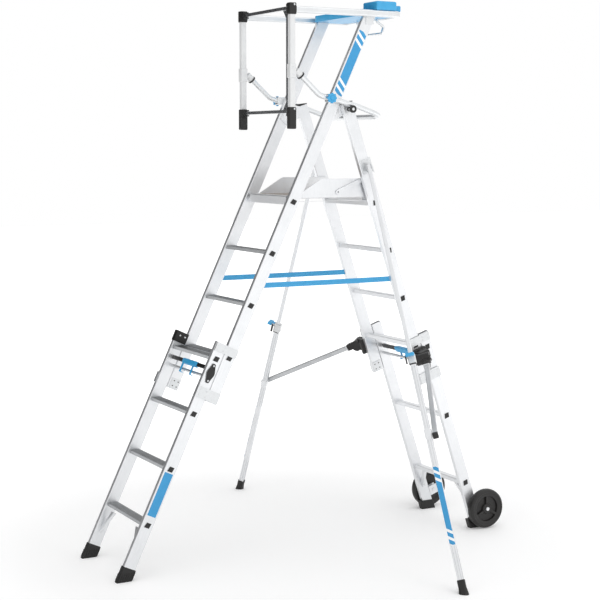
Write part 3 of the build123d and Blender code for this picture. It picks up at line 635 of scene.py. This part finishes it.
outerPlate, innerPlate = -262, -226  # the near side's plate faces
rivet, hole = (4.2, 2.0), (3.6, 0.5)  # radius and height
frontRows, rearRows = (-1090, -1062), (-1026, -998)
braceScrews = [((-15, 10, 26.2), (0, 0, 1), 5.0, 2.4), ((0, 0, 26.2), (0, 0, 1), 5.5, 2.4)]
postScrews = spotsOn(-291, -1, (-88,), (2846, 2326), 5.0, 2.6)
postScrews += spotsOn(-292, -1, (-96,), (2534, 2498), 4.5, 2.2)
fasteners = [
    ("postScrews", "front_frame", shiftMatrix, postScrews, steel),
    ("frontGuideRivets", "front_frame", frontPlane,
     spotsOn(outerPlate, -1, (-84, -48), frontRows, *rivet), steel),
    # black domes: painted shade in the drilled holes
    ("frontGuideHoles", "front_frame", frontPlane,
     spotsOn(innerPlate, 1, (-6, 18), frontRows, *hole), blackNylon),
    ("rearGuideRivets", "rear_frame", rearPlane,
     spotsOn(outerPlate, -1, (48, 84), rearRows, *rivet), steel),
    # black domes: painted shade in the drilled holes
    ("rearGuideHoles", "rear_frame", rearPlane,
     spotsOn(innerPlate, 1, (-18, 8), rearRows, *hole), blackNylon),
    ("legGuideRivets", "front_leg", frontLegPlane,
     spotsOn(outerPlate, -1, (-18, 18), (-844, -824), *rivet), steel),
    ("rearLegGuideRivets", "rear_leg", rearLegPlane,
     spotsOn(outerPlate, -1, (-18, 18), (-810, -790), *rivet), steel),
    ("hingeBosses", "front_frame", shiftMatrix, spotsOn(-299.6, -1, (253.2,), (2328.7,), 8.0, 3.0), steel),
    ("housingScrews", "rear_frame", braceFrame(), braceScrews, steel),
]
for label, side in sides:
    for name, body, place, spots, material in fasteners:
        addRivets(name + label, body, place, spots, material, side)
addRivets("nearCoverScrews", "front_leg", frontLegPlane, spotsOn(-263.4, -1, (0,), (-931, -1011), 5.2, 2.6))
addRivets("farCoverScrews", "front_leg", frontLegPlane, spotsOn(217.6, -1, (-13, 17), (-830,), 5.2, 2.6))
print("rivets")


# Ribs moulded into the front feet

footRib = {"pitch": 11.0, "width": 5.5, "stand": 2.2, "height": 40.0, "ground": -2083.7, "slope": 0.4737,
           "outer": (-259, -257), "inner": (-227, -225)}
for label, side in sides:
    bm = bmesh.new()
    for row in range(-3, 4):
        u = row * footRib["pitch"]
        # just above where the sloping shoe meets the floor
        low = footRib["ground"] + footRib["slope"] * u + 6
        width = footRib["width"] / 2
        outer = (footRib["outer"][0] - footRib["stand"], footRib["outer"][1])
        inner = (footRib["inner"][0], footRib["inner"][1] + footRib["stand"])
        for face in (outer, inner):
            addBlock(bm, (u - width, u + width), face, (low, low + footRib["height"]), 1.0, 2)
    addPiece("footRibs" + label, bm, blackRubber, "front_leg", frontLegPlane, side)
print("foot ribs")


# Room

studio = {"floorSize": 60.0, "lens": 85.72, "camera": (-3661.5, -6679.2, 2138.9), "yaw": 28.818,
          "pitch": 6.15}
bpy.context.scene.view_settings.view_transform = "Standard"  # so that hex colours come out as written
bm = bmesh.new()
bmesh.ops.create_grid(bm, x_segments=1, y_segments=1, size=studio["floorSize"] / 2)
floorMesh = bpy.data.meshes.new("studioFloor")
bm.to_mesh(floorMesh)
bm.free()
floor = bpy.data.objects.new("studioFloor", floorMesh)
bpy.context.scene.collection.objects.link(floor)
# matt white paint, with a glow that grows away from the object so that the far floor meets the white sky
floorMaterial, floorShader = newMaterial("painted floor, white")
floorShader.inputs["Base Color"].default_value = colour("#f4f4f4")
floorShader.inputs["Roughness"].default_value = 0.9
floorPlace = addNode(floorMaterial, "ShaderNodeTexCoord")
away = addNode(floorMaterial, "ShaderNodeVectorMath", {0: floorPlace.outputs["Object"]}, operation="LENGTH")
glow = addNode(floorMaterial, "ShaderNodeMapRange", {
    "Value": away.outputs["Value"], "From Min": 1.4, "From Max": 4.5, "To Min": 0.15, "To Max": 0.6})
floorShader.inputs["Emission Color"].default_value = colour("#ffffff")
join(floorMaterial, glow.outputs["Result"], floorShader, "Emission Strength")
floorMesh.materials.append(floorMaterial)

# The studio: white all round to the eye, while the metal reflects a grey curtain that hangs behind the object
curtain = {"middle": (-0.6, 0.8, 0.1), "dark": "#3a3a3c", "light": "#ffffff", "edge": (0.35, 0.9),
           "strength": 1.0}
sky = bpy.data.worlds.new("studioSky")
bpy.context.scene.world = sky
sky.use_nodes = True
background = sky.node_tree.nodes["Background"]
skyPlace = addNode(sky, "ShaderNodeTexCoord")
facing = addNode(sky, "ShaderNodeVectorMath", {
    0: skyPlace.outputs["Generated"], 1: Vector(curtain["middle"]).normalized()}, operation="DOT_PRODUCT")
curtainColour = rampBetween(sky, facing.outputs["Value"], curtain["light"], curtain["dark"], *curtain["edge"])
seen = addNode(sky, "ShaderNodeLightPath")
skyMix = addNode(sky, "ShaderNodeMix", {
    "Factor": seen.outputs["Is Camera Ray"], 6: curtainColour, 7: colour("#ffffff")}, data_type="RGBA")
sky.node_tree.links.new(skyMix.outputs[2], background.inputs["Color"])
background.inputs["Strength"].default_value = curtain["strength"]


def addLamp(name, place, aim, size, power):
    lamp = bpy.data.lights.new(name, "AREA")
    lamp.shape = "RECTANGLE"
    lamp.size, lamp.size_y = size
    lamp.energy = power
    lampObject = bpy.data.objects.new(name, lamp)
    lampObject.location = place
    lampObject.rotation_euler = (Vector(aim) - Vector(place)).to_track_quat("-Z", "Y").to_euler()
    bpy.context.scene.collection.objects.link(lampObject)


addLamp("keyLamp", (2.5, -6.0, 6.5), (0, 0, 1.0), (3.5, 3.5), 45)
addLamp("topLamp", (-1.0, 0.0, 9.0), (0, 0, 0), (5.0, 5.0), 50)

camera = bpy.data.cameras.new("viewCamera")
camera.lens = studio["lens"]
camera.sensor_width = 36
camera.clip_end = 100
cameraObject = bpy.data.objects.new("viewCamera", camera)
cameraObject.location = Vector(studio["camera"]) * mm
yaw, pitch = radians(studio["yaw"]), radians(studio["pitch"])
cameraObject.rotation_euler = (pi / 2 - pitch, 0, -yaw)
bpy.context.scene.collection.objects.link(cameraObject)
bpy.context.scene.camera = cameraObject
